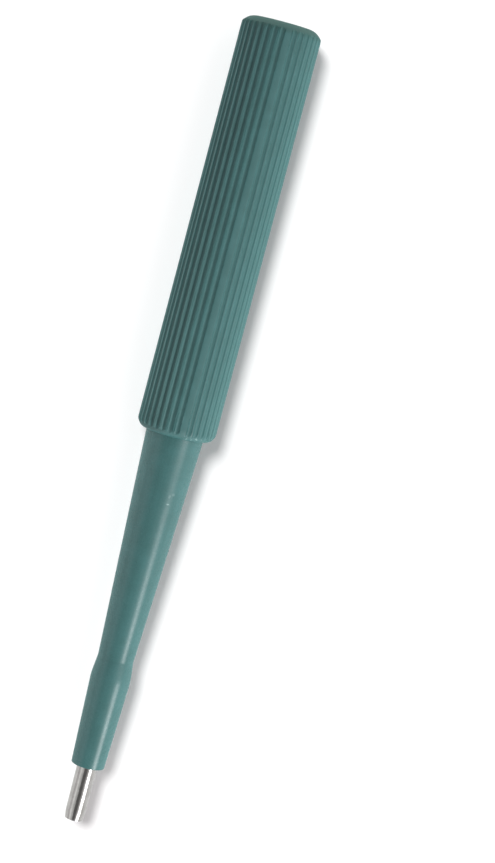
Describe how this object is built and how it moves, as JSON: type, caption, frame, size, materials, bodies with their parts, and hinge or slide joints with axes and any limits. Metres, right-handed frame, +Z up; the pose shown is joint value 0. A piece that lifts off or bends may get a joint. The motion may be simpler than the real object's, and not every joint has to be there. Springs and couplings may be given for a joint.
{
  "type": "biopsy punch",
  "caption": "Hand-held skin biopsy punch: a moulded handle with a fluted grip, tapering stem and flared nose that holds a short bevelled steel cutting tube.",
  "frame": {"origin": "on the surface that the punch lies on, under the middle of its length", "axes": "+X along the punch, from the head end towards the cutting tip; +Z up, with the punch lying on two ridges of its grip"},
  "size_m": [0.127, 0.0122, 0.0123],
  "materials": {
    "handle_plastic": "satin moulded plastic, dull teal",
    "tube_steel": "polished stainless steel with faint brushing along the tube"
  },
  "bodies": {
    "root": {"handle": "handle_plastic", "cutting_tube": "tube_steel"}
  },
  "joints": []
}
